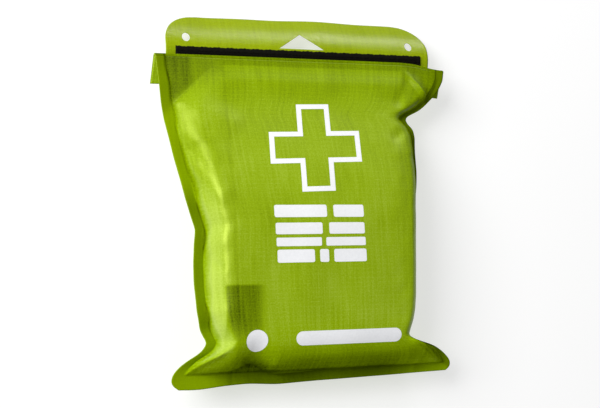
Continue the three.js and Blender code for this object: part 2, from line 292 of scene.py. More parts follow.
def woven_pattern(nodes, coordinates):
    """The plain threads, and the thicker reinforcing threads, of a weave in the flat pattern, each 0 to 1."""
    parts = nodes.add("ShaderNodeSeparateXYZ", {0: coordinates})
    threads, ribs = [], []
    for axis in (0, 1):
        turn = nodes.math("MULTIPLY", parts.outputs[axis], 2 * math.pi / (THREAD * MM))
        threads.append(nodes.math("SINE", turn))
        turn = nodes.math("MULTIPLY", parts.outputs[axis], 2 * math.pi / (RIPSTOP[axis] * MM))
        peak = nodes.math("MULTIPLY_ADD", nodes.math("COSINE", turn), 0.5, 0.5)
        ribs.append(nodes.math("POWER", peak, 10.0))
    weave = nodes.math("MULTIPLY_ADD", nodes.math("MULTIPLY", *threads), 0.5, 0.5)
    rib = nodes.math("MAXIMUM", nodes.math("MULTIPLY", ribs[0], 0.7), ribs[1])
    return weave, rib


def ripstop_fabric(name, tones, roughness=0.37, shaded=False, gloss=0.9, tint=(0.82, 0.93, 0.22, 1),
                   relief=0.06, polished=None):
    """Coated ripstop in (dark, middle, light) tones, and polished along a strip (middle, half width).

    A shaded cloth reads four attributes: how light it is, from what shows through it and from painted light and
    shade, where it is welded, the painted shade along the weld, and how glossy its coating is.
    """
    nodes = Nodes(name)
    pattern = nodes.add("ShaderNodeUVMap", uv_map="pattern")
    weave, rib = woven_pattern(nodes, pattern)
    stretch = (1 / (1.3 * MM), 1 / (26 * MM), 1)  # streaks run along the cloth
    streaks = nodes.noise(nodes.add("ShaderNodeMapping", {"Vector": pattern, "Scale": stretch}), 1.0, 3.0)
    grain = nodes.noise(pattern, 1 / (0.75 * MM))
    broad = nodes.noise(pattern, 1 / (24 * MM))
    fading = nodes.noise(pattern, 1 / (7 * MM), 1.0)
    tone = 0.0
    for noise, share in ((streaks, 0.30), (grain, 0.42), (broad, 0.22)):
        tone = nodes.math("MULTIPLY_ADD", noise, share, nodes.math("SUBTRACT", tone, share / 2))
    tone = nodes.math("ADD", tone, nodes.math("MULTIPLY", rib, nodes.math("MULTIPLY", fading, 0.09)))
    level = nodes.math("ADD", tone, 0.5)
    if shaded:
        border = nodes.attribute("border")
        tone = nodes.math("MULTIPLY", tone, nodes.math("MULTIPLY_ADD", border, -0.7, 1.0))
        level = nodes.math("MULTIPLY_ADD", border, -0.06, nodes.attribute("show_through_and_painted_light"))
        level = nodes.math("MULTIPLY_ADD", nodes.attribute("line"), -0.3, nodes.math("ADD", tone, level))
        gloss = nodes.math("MULTIPLY", nodes.attribute("gloss"), gloss)
    if polished:
        middle, half_width = polished
        along = nodes.add("ShaderNodeSeparateXYZ", {0: pattern}).outputs["Y"]
        off = nodes.math("DIVIDE", nodes.math("SUBTRACT", along, middle * MM), half_width * MM)
        strip = nodes.math("POWER", 2.718, nodes.math("MULTIPLY", nodes.math("MULTIPLY", off, off), -1.0))
        gloss = nodes.math("MULTIPLY_ADD", strip, gloss, 0.08)
    dark, middle, light = tones
    lower = nodes.math("MULTIPLY", level, 2.0)
    upper = nodes.math("MULTIPLY_ADD", level, 2.0, -1.0)
    lower.use_clamp = upper.use_clamp = True
    colour = nodes.mix(upper, nodes.mix(lower, dark, middle), light)
    height = nodes.math("MULTIPLY_ADD", rib, 0.3, nodes.math("MULTIPLY", weave, 0.4))
    height = nodes.math("MULTIPLY_ADD", grain, 0.9, height)
    rough = nodes.math("MULTIPLY_ADD", grain, 0.14, roughness - 0.07)
    return nodes.shade(Base_Color=colour, Roughness=rough, Normal=nodes.bump(0.5, relief, height),
                       Specular_IOR_Level=gloss, Specular_Tint=tint)


def ink_material():
    nodes = Nodes("printed_ink")
    mottle = nodes.noise(nodes.place(), 900.0)
    colour = nodes.mix(mottle, rgb(236, 237, 240), rgb(250, 251, 253))
    return nodes.shade(Base_Color=colour, Roughness=0.5, Normal=nodes.bump(0.25, 0.04, mottle))


def tape_material(name, base, tip):
    nodes = Nodes(name)
    fuzz = nodes.noise(nodes.place(), 1400.0, 3.0)
    return nodes.shade(Base_Color=nodes.mix(fuzz, base, tip), Roughness=0.9,
                       Normal=nodes.bump(0.8, 0.2, fuzz), Specular_IOR_Level=0.05)


# the front's painted shade runs towards the dark tone, and its painted highlights towards the light one
GREENS = (rgb(62, 78, 1), rgb(140, 169, 2), rgb(188, 212, 86))  # dark, middle, light
FLAP_GREENS = (rgb(74, 88, 2), rgb(142, 162, 8), rgb(176, 196, 40))
EDGE_GREENS = (rgb(100, 122, 8), rgb(160, 186, 40), rgb(190, 210, 90))
front_cloth = ripstop_fabric("pouch_front_ripstop", GREENS, shaded=True)
back_cloth = ripstop_fabric("pouch_back_ripstop", GREENS, gloss=0.4)
flap_cloth = ripstop_fabric("flap_ripstop", FLAP_GREENS, roughness=0.22, gloss=1.0,
                            tint=(0.92, 0.94, 0.7, 1), relief=0.12, polished=(13.5, 3.4))
cut_edge = ripstop_fabric("ripstop_cut_edge", EDGE_GREENS, roughness=0.7, gloss=0.1)
ink = ink_material()
hook_cloth = tape_material("hook_tape_nylon", rgb(2, 2, 2), rgb(30, 29, 22))
loop_cloth = tape_material("loop_tape_nylon", rgb(12, 12, 11), rgb(40, 40, 38))

# ---- Shape of the pouch ----------------------------------

# Outer edge of the weld on each side, as (y, x): drawn in by the filling, and flared at the bottom corners.
LEFT_EDGE = curve_through([
    (-95.6, -70), (-95.1, -72.6), (-94, -74.6), (-91.5, -76), (-88.5, -75.4), (-85.5, -73), (-82.3, -68.6),
    (-78.5, -61.5), (-74, -57.6), (-67, -60.6), (-58, -62.6), (-44, -63.6), (-33, -63.6), (-24, -63),
    (-16.5, -62), (-11, -63.7), (0, -67.1), (10, -69.6), (21, -72.5), (31, -74.8), (40, -76.8), (49, -78),
    (60, -79), (74.8, -80.6),
])
RIGHT_EDGE = curve_through([
    (-95.6, 71), (-95.1, 73.4), (-94, 75), (-91.5, 75.8), (-89, 75.2), (-86, 73.2), (-82.6, 70),
    (-79.5, 66), (-77, 58.5), (-74, 52), (-70, 53.5), (-66, 55), (-60, 56.5), (-50, 57.6), (-34, 58.6),
    (-19, 59.2), (-5, 60), (6, 61), (15, 61.4), (26, 61.2), (33, 61.4), (37.5, 60.2), (40.5, 57), (43, 56),
    (45.3, 58.2), (47.5, 63.6), (50, 67.6), (53, 70.8), (57, 74.2), (62, 77), (68, 79.4), (74.8, 80.4),
], blur=0.9)
# How far the bottom edge strays from straight, as (x, rise).
BOTTOM_WAVE = curve_through([
    (-76, -1.2), (-63, -1.7), (-50, -0.4), (-36, 0.2), (-22, -0.9), (0, 0), (40, 0.9), (76, 1.8),
], 3)
# How far in from the weld the front takes to reach its height, on each side, as (y, width).
LEFT_SHOULDER = curve_through([
    (-95, 5), (-84, 5), (-72, 5.6), (-55, 7), (-34, 7), (-8, 7.4), (14, 9.6), (46, 9.5), (60, 13), (74, 18),
], 3)
RIGHT_SHOULDER = curve_through([
    (-95, 9), (-84, 12), (-70, 9), (-50, 9), (0, 9), (30, 9), (45, 12), (74, 14),
], 3)
# The left flank stands up from the weld, then slopes like a chamfer to the crown: tenths of the shoulder's
# width, and tenths of the full height.
LEFT_FLANK = curve_through([
    (0, 0), (0.4, 3.0), (1.0, 4.9), (1.9, 5.8), (5, 7.5), (7, 8.4), (9, 9.1), (11.5, 9.6), (14.5, 9.9),
    (18, 10),
], 0.35)
# How far the bottom weld buckles into the body, and how far the fold droops, as (x, distance).
FOOT_PUCKER = curve_through([
    (-60, 0), (-46, 1), (-37, 4.2), (-33, 3.4), (-26, -1.6), (-16, -1.4), (0, -0.4), (70, 0),
], 1.3)
FOLD_DROP = curve_through([(-82, 0), (56, 0.2), (64, -0.4), (72, -2.4), (78, -3.3), (84, -3.4)], 2)

WELD = 4.7  # width of the flat border that shows, on the sides
FOOT_WELD = 6.0  # and along the bottom
FOOT_DEPTH = 22  # how far up from it the front takes to reach its height
FOLD_SET_BACK = 1.9  # the cloth turns over this far short of the hinge line
SHEET = 0.35  # thickness of one layer of cloth
FOLD_Y = FOLD[1]
THROAT = 1.6  # how far the front stands off the welds at the fold
ROUNDNESS = 2.2  # 1 slopes straight up, and more is rounder
SKIN_TOP = FOLD_Y - FOLD_SET_BACK * math.cos(TILT)
TURN_Z = FOLD[2] - FOLD_SET_BACK * math.sin(TILT)
FRONT_LAYER = MID_Z + 0.1 + SHEET  # outer face of the front where it is welded to the back
BACK_LAYER = MID_Z - 0.1 - SHEET


def full_height(y):
    """How far the front stands off the welds along its middle."""
    return THROAT + (CREST_Z - MID_Z - THROAT) * falls(y, -18, FOLD_Y + 2)


def waves(x, y, size, seed):
    """Smooth unevenness of about the given size, between -1 and 1."""
    rng = np.random.default_rng(seed)
    count = 9
    total = np.zeros(np.broadcast(x, y).shape)
    for _ in range(count):
        angle, phase = rng.uniform(0, 2 * math.pi, 2)
        pace = 2 * math.pi / (size * rng.uniform(0.7, 1.6))
        total += np.sin(pace * (x * math.cos(angle) + y * math.sin(angle)) + phase)
    return total / count**0.5 / 1.6


def beside(x, y, start, end):
    """Signed distance from a line, positive on its right as it runs from start to end."""
    return line_distance(x, y, start, end)[0]


def weld_wander(y):
    """How far the inner edge of the left weld strays from a straight run."""
    return 0.45 * np.sin(y / 7 + 1) + 0.3 * np.sin(y / 2.9)


def front_height(x, y, left, right):
    """Height of the front above the plane of the welds."""
    out = (x - left - WELD - 0.5 - weld_wander(y)) / LEFT_SHOULDER(y)
    slope = 0.55 * smoothstep(y, 2, 26)  # further up, it rises more evenly
    even = np.sin(math.pi / 2 * np.clip(out / 1.5, 0, 1))
    flank = np.clip((1 - slope) * LEFT_FLANK(10 * out) / 10 + slope * even, 0, 1)
    from_left = 1 - (1 - flank**ROUNDNESS) ** (1 / ROUNDNESS)
    from_right = np.clip((right - WELD * 0.7 - x) / RIGHT_SHOULDER(y), 0, 1)
    from_foot = np.clip((y - BOTTOM_Y - FOOT_WELD - FOOT_PUCKER(x)) / FOOT_DEPTH, 0, 1)
    from_corner = np.clip(beside(x, y, (-78, 42), (-55.5, 64)) / 15, 0.002, 1)
    sharp = 7.0
    # a smooth minimum of the four
    near = sum((d + 1e-4) ** -sharp for d in (from_left, from_right, from_foot, from_corner))
    near = np.clip(near ** (-1 / sharp), 0, 1)
    rise = (1 - (1 - near) ** ROUNDNESS) ** (1 / ROUNDNESS)
    foot = falls(y, -89, -68)
    reach = np.where(x < 0, smoothstep(-x, 45, 75), smoothstep(x, 44, 78))
    ear = 1 - 0.95 * foot * reach
    crown = 1 - 0.07 * ((x + 2) / 60) ** 2
    return full_height(y) * rise * crown * ear


# Ridges and grooves of the front: start, end, height, width, and for some how soon they fade at their ends.
CREASES = [
    # left shoulder: broad facets, each pulled tight between the weld and a fine diagonal crease
    ((-71, 44), (-62, 26), 0.8, 5.8),
    ((-70, 31), (-58, 13), -0.9, 2.2),
    ((-65, 19), (-50, -3), 1.0, 5.8),
    ((-65, 10), (-55, -6), -1.0, 2.1),
    ((-58, -10), (-55, -40), 0.4, 5.5),
    ((-60, -27), (-53, -38), -0.7, 1.5),
    ((-58, -42), (-56, -70), 0.35, 5.0),
    ((-62, 46), (-40, 36), 0.9, 6),
    # upper right: a ridge from the end of the fold to the pinch, a hollow on each side, and the tuck itself
    ((55, 73), (68, 53), 3.0, 1.6, 0.1),
    ((63, 75), (72, 58), -2.6, 3.0, 0.1),
    ((69, 52.5), (51, 42.5), -2.6, 1.6),
    ((58, 66), (50, 50), -0.9, 3.0),
    ((60, 41), (44, 30), -0.9, 3.4),
    ((60, 38), (55, 22), 1.0, 2.6),
    ((50, 30), (47, -20), -0.5, 4.0),
    # foot: the ridges out to the corners, and a dent where the bottom weld buckles
    ((-72.5, -90), (-54, -79), 1.3, 1.8, 0.1),
    ((-54, -79), (-52.5, -62), 0.9, 2.0),
    ((70, -91), (46, -76), 2.2, 1.9, 0.1),
    ((60, -80), (50, -70), -1.2, 2.0),
    ((-41, -84), (-25, -91), -3.6, 2.2),
    ((-30, -86), (-10, -87), 0.9, 2.4),
    ((-20, -83), (40, -82), 0.5, 3.0),
]


def dress(x, y):
    """Creases, dents and soft swells of the front, in millimetres of height."""
    z = 0.22 * waves(x, y, 26, 3) + 0.10 * waves(x, y, 9, 5) * smoothstep(np.abs(x + 2), 20, 55)
    for line in CREASES:
        z += crease(x, y, *line)
    return z


def weld_sway(x, y, left, right):
    """How far the welds leave their plane: the flanges wave, and fold back on the right and at the foot."""
    near_left = falls(x, left + 1, left + 12)
    near_right = smoothstep(x, right - 11, right - 1)
    near_foot = falls(y, BOTTOM_Y + 1, BOTTOM_Y + 14)
    sway = near_left * (0.6 * np.sin(y / 11) + 0.35 * np.sin(y / 4.7 + 1))
    sway += near_left * 2.4 * bell(y, -79, 6) - near_left * 2.6 * bell(y, -68, 5)
    back = smoothstep(y, -84, -70) * (1.0 + 2.6 * falls(y, -8, 14)) * falls(y, 30, 44)
    sway += near_right * (0.5 * np.sin(y / 9 + 2) - back)
    sway -= near_right * 3.6 * bell(y, 52, 8)
    sway += near_foot * (0.6 * np.sin(x / 14 + 0.6) + 0.3 * np.sin(x / 5.3) - 1.9)
    return sway * falls(y, FOLD_Y - 22, FOLD_Y - 4)


ROWS = 232
BODY_COLUMNS = 150
WELD_COLUMNS = 7


def across(values, columns):
    """Values that belong to rows, as a grid."""
    return np.repeat(values[:, None], columns, axis=1)


def body_grid():
    """The grid that both panels are built on, from the bottom edge to the fold: x, y, and each row's two
    edges, and the rows' y before the edges are bent."""
    t = np.linspace(0, 1, ROWS)
    nominal = BOTTOM_Y + (SKIN_TOP - BOTTOM_Y) * (0.82 * t + 0.18 * t**1.6)
    left, right = LEFT_EDGE(nominal), RIGHT_EDGE(nominal)
    share = np.linspace(0, 1, BODY_COLUMNS)
    share = share - 0.07 * np.sin(2 * np.pi * share)
    weld = np.linspace(0, 1, WELD_COLUMNS)[:-1]
    x = np.concatenate([
        left[:, None] + WELD * weld,
        left[:, None] + WELD + (right - left - 2 * WELD)[:, None] * share,
        right[:, None] - WELD * weld[::-1],
    ], axis=1)
    y = across(nominal, x.shape[1])
    y = y + BOTTOM_WAVE(x) * falls(y, BOTTOM_Y, BOTTOM_Y + 16)
    y = y + FOLD_DROP(x) * smoothstep(y, FOLD_Y - 26, FOLD_Y)
    return x, y, across(left, x.shape[1]), across(right, x.shape[1]), nominal


GRID_X, GRID_Y, GRID_LEFT, GRID_RIGHT, NOMINAL_Y = body_grid()


def front_surface(x, y, left, right):
    height = front_height(x, y, left, right)
    body = smoothstep(height, 0.2, 3.5) * falls(y, FOLD_Y - 7, FOLD_Y - 1)
    return MID_Z + 0.1 + SHEET + height + body * dress(x, y) + weld_sway(x, y, left, right)


def settled(y, z, layer_z):
    """Brings the front or back into its own layer where it reaches the fold."""
    share = smoothstep(y, SKIN_TOP - 13, SKIN_TOP - 0.3)
    return z * (1 - share) + layer_z * share


def front_z(x, y):
    return settled(y, front_surface(x, y, LEFT_EDGE(y), RIGHT_EDGE(y)), FRONT_LAYER)


def back_surface(x, y, left, right):
    shoulder = 12 + 12 * falls(y, -88, -66)
    near = np.minimum((x - left - WELD) / shoulder, (right - WELD - x) / shoulder)
    near = np.clip(np.minimum(near, (y - BOTTOM_Y - FOOT_WELD) / 24), 0, 1)
    rise = (1 - (1 - near) ** 2.4) ** (1 / 2.4)
    depth = (MID_Z - 0.1) * falls(y, -13, FOLD_Y) * rise
    return np.maximum(MID_Z - 0.1 - SHEET - depth + weld_sway(x, y, left, right), 0.0)


# The pale leaflet that shows through the cloth, and the edge of the empty corner at the upper left.
CARD_LEFT, CARD_RIGHT, CARD_TOP, CARD_SOFTNESS = -45.2, 54.5, 69.4, 0.8
CORNER_LINE = ((-74, 46.4), (-55.5, 63.1))
LEFT_RIDGE = ((-72.5, -90), (-54, -79))  # out to the bottom corners
RIGHT_RIDGE = ((47, -75.5), (70, -90.5))


def show_through_and_painted_light():
    """How light the front is: from what shows through its thin cloth, and from painted light and shade."""
    x, y = GRID_X, GRID_Y
    soft = CARD_SOFTNESS
    card = smoothstep(x, CARD_LEFT - soft, CARD_LEFT + soft) * falls(x, CARD_RIGHT - soft, CARD_RIGHT + soft)
    card *= falls(y, CARD_TOP - soft, CARD_TOP + soft)
    off_corner = beside(x, y, *CORNER_LINE)
    packed = smoothstep(off_corner, -2, 4) * falls(x, -50, -44) * falls(y, 52, 70)
    value = 0.38 + 0.12 * np.maximum(card, packed)
    # darker towards the fold beside the leaflet, and painted shade just under the fold over the leaflet
    value -= 0.06 * smoothstep(y, 60, 74) * (1 - card)
    value -= 0.06 * smoothstep(y, 46, 58) * falls(y, 66, 72) * card
    # painted shade in the hollow, empty corner beside the fold
    hollow = falls(x, -64.5, -60) * smoothstep(-off_corner, -1, 4)
    value -= 0.17 * hollow * smoothstep(x - GRID_LEFT, WELD - 1, WELD + 1)
    # painted shade on the foot and the right flank, and the dark packet at the lower left that shows through
    lobes = falls(np.abs(x - 2), 34, 66)
    value -= (0.02 + 0.32 * lobes) * falls(y, BOTTOM_Y + 5, BOTTOM_Y + 23)
    value -= 0.15 * smoothstep(x, 38, 56) * falls(y, 20, 50) * smoothstep(y, -92, -76)
    patch = smoothstep(x, -52, -51) * falls(x, -38, -30) * falls(y, -46.4, -45.4)
    value -= 0.34 * patch * smoothstep(y, -79, -62)
    # a painted highlight along the left weld, and painted light low down and painted shade high up
    from_weld = x - GRID_LEFT - WELD
    lit = smoothstep(from_weld, 0.0, 0.6) * falls(from_weld, 5, 8) * falls(y, -12, 8)
    value += 0.19 * lit * smoothstep(y, -82, -76)
    value += 0.03 * smoothstep(-y, 0, 50) - 0.035 * smoothstep(y, 10, 50)
    # painted light and shade at the bottom corners, on each side of their ridges
    value += 0.06 * smoothstep(x, 50, 58) * falls(y, -86, -78)
    outer = smoothstep(x - GRID_RIGHT, -7.5, -5) * smoothstep(y, -80, -76)
    value -= 0.14 * outer * falls(y, -46, -36)
    beyond_ridge = smoothstep(-beside(x, y, *RIGHT_RIDGE), 0.5, 2) * smoothstep(x, 47, 50)
    value += falls(y, -80, -74) * (0.09 * smoothstep(x, 30, 52) * (1 - beyond_ridge) - 0.12 * beyond_ridge)
    value -= 0.07 * falls(x, -66, -56) * falls(y, -88, -80)
    # painted shade in the dent in the bottom weld and beside the tuck at the upper right, and a painted highlight
    # along the tuck's ridge
    value -= crease(x, y, (-43, -82.5), (-25, -89.5), 0.15, 2.4)
    tuck = -beside(x, y, (55, 73), (68, 53))
    tucked = smoothstep(y, 46, 54) * smoothstep(x, 50, 56)
    value -= 0.06 * smoothstep(tuck, 0.8, 2.2) * tucked
    value += 0.07 * bell(tuck, 0, 0.9) * tucked * falls(y, 69, 73)
    # painted shade on the welded borders
    from_side = np.minimum(x - GRID_LEFT, GRID_RIGHT - x)
    flange = falls(from_side, WELD - 0.1, WELD + 0.4) * smoothstep(y, -88, -80)
    value -= flange * (0.01 + 0.20 * falls(y, -8, 12)) * falls(x, -20, 20)
    value -= flange * 0.06 * smoothstep(x, 30, 50) * falls(y, 56, 70)
    return value


def gloss():
    """The coating's gloss: none at the foot, on the right flank and at the left weld, and less in places."""
    x, y = GRID_X, GRID_Y
    foot = falls(y, BOTTOM_Y + 20, BOTTOM_Y + 36)
    flank = smoothstep(x, GRID_RIGHT - 15, GRID_RIGHT - 6)
    foot = foot * smoothstep(beside(x, y, *LEFT_RIDGE), -2.2, -0.2)
    worn = np.maximum(foot * smoothstep(x, -75, -68), flank)
    patch = smoothstep(x, -53, -50) * falls(x, -38, -30)
    patch *= smoothstep(-y, 44.5, 46.5) * smoothstep(y, -78, -62)
    upper = smoothstep(y, 38, 56) * smoothstep(x, -56, -44)
    shoulder = smoothstep(y, -4, 14) * falls(x, -60, -46)
    off_wall = smoothstep(x - GRID_LEFT - WELD - weld_wander(y), 0.9, 1.7)
    return (1 - worn) * (1 - 0.75 * patch) * (1 - 0.75 * upper) * (1 - 0.45 * shoulder) * off_wall


def seam():
    """1 on the welded borders, and a line of painted shade along their inner edge, where the cloth stands up."""
    x, y = GRID_X, GRID_Y
    from_side = np.minimum(x - GRID_LEFT, GRID_RIGHT - x)
    from_foot = (y - BOTTOM_Y) * WELD / FOOT_WELD
    inward = np.minimum(from_side, from_foot)
    line = 0.6 * bell(inward - WELD, 0.1, 0.35)
    # on the left, the line follows the wandering weld, and is faint at the foot
    along_wall = smoothstep(y, -84, -78)
    line = line * (1 - 0.75 * falls(x, -54, -42) * falls(y, BOTTOM_Y + 9, BOTTOM_Y + 12))
    wall_line = 0.75 * bell(x - GRID_LEFT - WELD - 0.35 - weld_wander(y), 0, 0.5)
    line = np.where(x < 0, line * (1 - along_wall) + wall_line * along_wall, line)
    return falls(inward, WELD - 0.1, WELD + 0.4), line


def neck_rows(radius, length, count, arc_count):
    """(y, z, distance) of a layer of cloth that turns over the fold and runs down to the mouth."""
    centre = FOLD - FOLD_SET_BACK * np.array([0, math.cos(TILT), math.sin(TILT)])
    start, end = math.pi / 2, -math.pi / 2 + TILT
    rows = []
    for i in range(1, arc_count + 1):
        angle = start + (end - start) * i / arc_count
        y, z = centre[1] + radius * math.cos(angle), centre[2] + radius * math.sin(angle)
        rows.append((y, z, radius * (start - angle)))
    y0, z0, run = rows[-1]
    for i in range(1, count + 1):
        s = length * i / count
        rows.append((y0 - s * math.cos(TILT), z0 - s * math.sin(TILT), run + s))
    return rows


def neck_x(share, distance):
    """The neck's width keeps the flat width of the pouch, and its right ear hangs in a little."""
    left = -80.6 - 0.10 * distance
    right = 80.4 - 0.12 * distance
    return left + (right - left) * share


NECK_RUN = 14.0  # from the turn to the mouth


def finish_skin(piece, flat_x, flat_y, marks):
    give_pattern(piece, flat_x, flat_y)
    for name, values in marks.items():
        give_attribute(piece, name, values)
    thicken(piece, SHEET, edge=cut_edge)
    for face in piece.data.polygons:
        if face.material_index:
            face.use_smooth = False
            at_fold = face.center.y > (FOLD_Y - 7) * MM and abs(face.normal.y) > 0.7
            if at_fold:
                face.material_index = 0  # the skin runs on round the fold, so this is no cut edge
    return piece


def build_skin(name, surface_z, layer_z, facing, material):
    """One panel of the pouch as a sheet of cloth, and the run of the same sheet that turns over the fold."""
    share = (GRID_X - GRID_LEFT) / (GRID_RIGHT - GRID_LEFT)
    points = np.stack([GRID_X, GRID_Y, settled(GRID_Y, surface_z, layer_z)], -1)
    flat_x = 0.5 * GRID_X + 0.5 * (-80 + 160 * share)
    flat_y = across(NOMINAL_Y, GRID_X.shape[1])
    border, line = seam()
    faces = grid_faces(*GRID_X.shape, flip=facing < 0)
    body = new_piece(name, points.reshape(-1, 3), faces, material)
    marks = {"show_through_and_painted_light": show_through_and_painted_light(), "border": border, "line": line, "gloss": gloss()}
    finish_skin(body, flat_x, flat_y, marks)

    radius = layer_z - TURN_Z
    rows = [points[-1]]
    distances = [0.0]
    for y, z, distance in neck_rows(radius, NECK_RUN, 20, 10):
        x = neck_x(share[-1], distance)
        rows.append(np.stack([x, y + FOLD_DROP(x), np.full_like(x, z)], -1))
        distances.append(distance)
    rows = np.array(rows)
    count = len(rows)
    flat_x = np.repeat(flat_x[-1:], count, axis=0)
    flat_y = SKIN_TOP + across(np.array(distances), rows.shape[1])
    turn_shade = 0.31 - 0.12 * bell(flat_y - SKIN_TOP, 1.2, 1.4)
    marks = {"show_through_and_painted_light": turn_shade, "gloss": np.zeros(flat_x.shape)}
    marks["border"] = np.repeat(border[-1:], count, axis=0)
    marks["line"] = np.repeat(line[-1:], count, axis=0)
    faces = grid_faces(count, rows.shape[1], flip=facing < 0)
    neck = new_piece(name + "_neck", rows.reshape(-1, 3), faces, material)
    finish_skin(neck, flat_x, flat_y, marks)
    return body, neck


front_skin, front_neck = build_skin(
    "pouch_front_skin", front_surface(GRID_X, GRID_Y, GRID_LEFT, GRID_RIGHT), FRONT_LAYER, 1, front_cloth)
back_skin, back_neck = build_skin(
    "pouch_back_skin", back_surface(GRID_X, GRID_Y, GRID_LEFT, GRID_RIGHT), BACK_LAYER, -1, back_cloth)
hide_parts("front_panel")
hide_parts("back_panel")
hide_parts("neck_front_layer")
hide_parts("neck_back_layer")
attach(front_skin, "pouch")
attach(back_skin, "pouch")

# The two necks are built already turned over the fold; their transforms are baked into their points.
for neck in (front_neck, back_neck):
    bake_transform(neck)

# ---- Flap ------------------------------------------------

FLAP_SHEET = 0.5
FLAP_HALF = 74.0
FLAP_CORNER = 18.0
FLAP_TOP = 25.8  # along the cloth, from the hinge line
FLAP_DROOP = math.radians(50)  # how far the flap has rolled over by its edge
FLAP_ROLL = 6.5  # length of cloth over which most of that turn happens
FLAP_Z = -5.35  # how far behind the neck it stands
HOLE_X, HOLE_Y, HOLE_RADIUS = 63.0, 9.0, 2.15
ARROW_HALF, ARROW_BASE, ARROW_TIP = 12.5, 5.2, 13.0


def closure_frame(x, y, z):
    return np.stack([
        x,
        FOLD[1] + y * math.cos(TILT) - z * math.sin(TILT),
        FOLD[2] + y * math.sin(TILT) + z * math.cos(TILT),
    ], -1)


def roll_angle(run):
    return FLAP_DROOP * (1 - np.exp(-run / FLAP_ROLL))


def roll_curve():
    """y and z of the rolled-over cloth, against the run along it."""
    run = np.linspace(0, 26, 261)
    angle = roll_angle(run[:-1])
    step = run[1] - run[0]
    y = np.concatenate([[0], np.cumsum(np.cos(angle) * step)])
    z = -np.concatenate([[0], np.cumsum(np.sin(angle) * step)])
    return run, y, z


ROLL_START = 1.0
ROLL_RUN, ROLL_Y, ROLL_Z = roll_curve()


def roll_over(x, y, z):
    """Lays the flap's flat cloth along its curve: it rolls over backwards above the tape, and waves."""
    past = np.clip(y - ROLL_START, 0, None)
    flat = y - past
    angle = roll_angle(past)
    wave = 0.45 * np.sin(x / 17 + 0.8) * smoothstep(y, 0, 16) + 0.22 * np.sin(x / 7.0) * smoothstep(y, 8, 20)
    off = z - FLAP_Z + wave
    ahead, down = np.interp(past, ROLL_RUN, ROLL_Y), np.interp(past, ROLL_RUN, ROLL_Z)
    return x, flat + ahead + off * np.sin(angle), FLAP_Z + down + off * np.cos(angle)


def build_flap():
    rows, columns = 64, 190
    y = np.linspace(-15.5, FLAP_TOP, rows)
    over = np.clip(y - FLAP_TOP + FLAP_CORNER, 0, FLAP_CORNER)
    half = FLAP_HALF - FLAP_CORNER + np.sqrt(np.maximum(FLAP_CORNER**2 - over**2, 0))
    share = np.linspace(-1, 1, columns)
    x = half[:, None] * share
    y = across(y, columns)
    flat_y = y
    x, y, z = roll_over(x, y, np.full_like(y, FLAP_Z))
    # the mouth: the flap leaves the neck's back layer, and turns up behind the neck
    turn_radius, turn_y, turn_z = 2.45, -15.7, -2.9
    angle = math.pi / 2 + math.pi * np.arange(12) / 12
    bend_y = across(turn_y + turn_radius * np.cos(angle) * 0.5, columns)
    bend_z = across(turn_z + turn_radius * np.sin(angle), columns)
    x = np.concatenate([np.repeat(x[:1], len(angle), axis=0), x])
    y = np.concatenate([bend_y, y])
    z = np.concatenate([bend_z, z])
    flat_y = np.concatenate([bend_y - 8, flat_y])
    points = closure_frame(x, y, z)
    flap = new_piece("closure_flap_skin", points.reshape(-1, 3), grid_faces(*x.shape), flap_cloth)
    give_pattern(flap, x, flat_y)
    thicken(flap, FLAP_SHEET, offset=0, edge=cut_edge)
    return flap


def cutter(name, outline):
    """A prism through the flap, square to its foot."""
    top, bottom = (closure_frame(*np.array([(x, y, z) for x, y in outline]).T) for z in (6.0, -14.0))
    count = len(outline)
    faces = [list(range(count)), list(range(2 * count - 1, count - 1, -1))]
    faces += [[(i + 1) % count, i, count + i, count + (i + 1) % count] for i in range(count)]
    return new_piece(name, np.concatenate([top, bottom]), faces, flap_cloth, smooth=False)


flap = build_flap()
ring = [(HOLE_RADIUS * math.cos(a), HOLE_RADIUS * math.sin(a)) for a in np.linspace(0, 2 * math.pi, 33)[:-1]]
cutters = [cutter("hole_cutter", [(x + u, HOLE_Y + v) for u, v in ring]) for x in (-HOLE_X, HOLE_X)]
cutters.append(cutter("arrow_cutter", [(-ARROW_HALF, ARROW_BASE), (ARROW_HALF, ARROW_BASE), (0, ARROW_TIP)]))
for tool in cutters:
    modifier = flap.modifiers.new(tool.name, "BOOLEAN")
    modifier.operation = "DIFFERENCE"
    modifier.solver = "EXACT"
    modifier.object = tool
apply_modifiers(flap)
for tool in cutters:
    bpy.data.objects.remove(tool)
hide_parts("closure_flap")
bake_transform(flap)


# ---- Hook and loop tapes ---------------------------------

TAPE_HALF = 69.0
TAPE_THICKNESS = 0.6
PILE_PITCH = 1.0
HOOK_Y, HOOK_TOP, HOOK_HEIGHT = (-14.8, 3.9), -4.3, 0.65
LOOP_Y, LOOP_TOP, LOOP_HEIGHT = (-15.0, -1.4), -2.0, 0.5


def tape_band(name, top, span, material, rolled):
    """A tape with a soft, slightly uneven edge."""
    rows, columns = 22, 150
    share = np.linspace(0, 1, rows)
    x = TAPE_HALF * np.repeat(np.linspace(-1, 1, columns)[None], rows, axis=0)
    y = span[0] + (span[1] - span[0]) * across(share, columns)
    y = y + (0.18 * np.sin(x * 2.7) + 0.12 * np.sin(x * 5.9 + 1)) * (share[:, None] > 0.95)
    z = np.full_like(y, top)
    if rolled:
        x, y, z = roll_over(x, y, z)
    piece = new_piece(name, closure_frame(x, y, z).reshape(-1, 3), grid_faces(rows, columns), material)
    thicken(piece, TAPE_THICKNESS)
    return piece


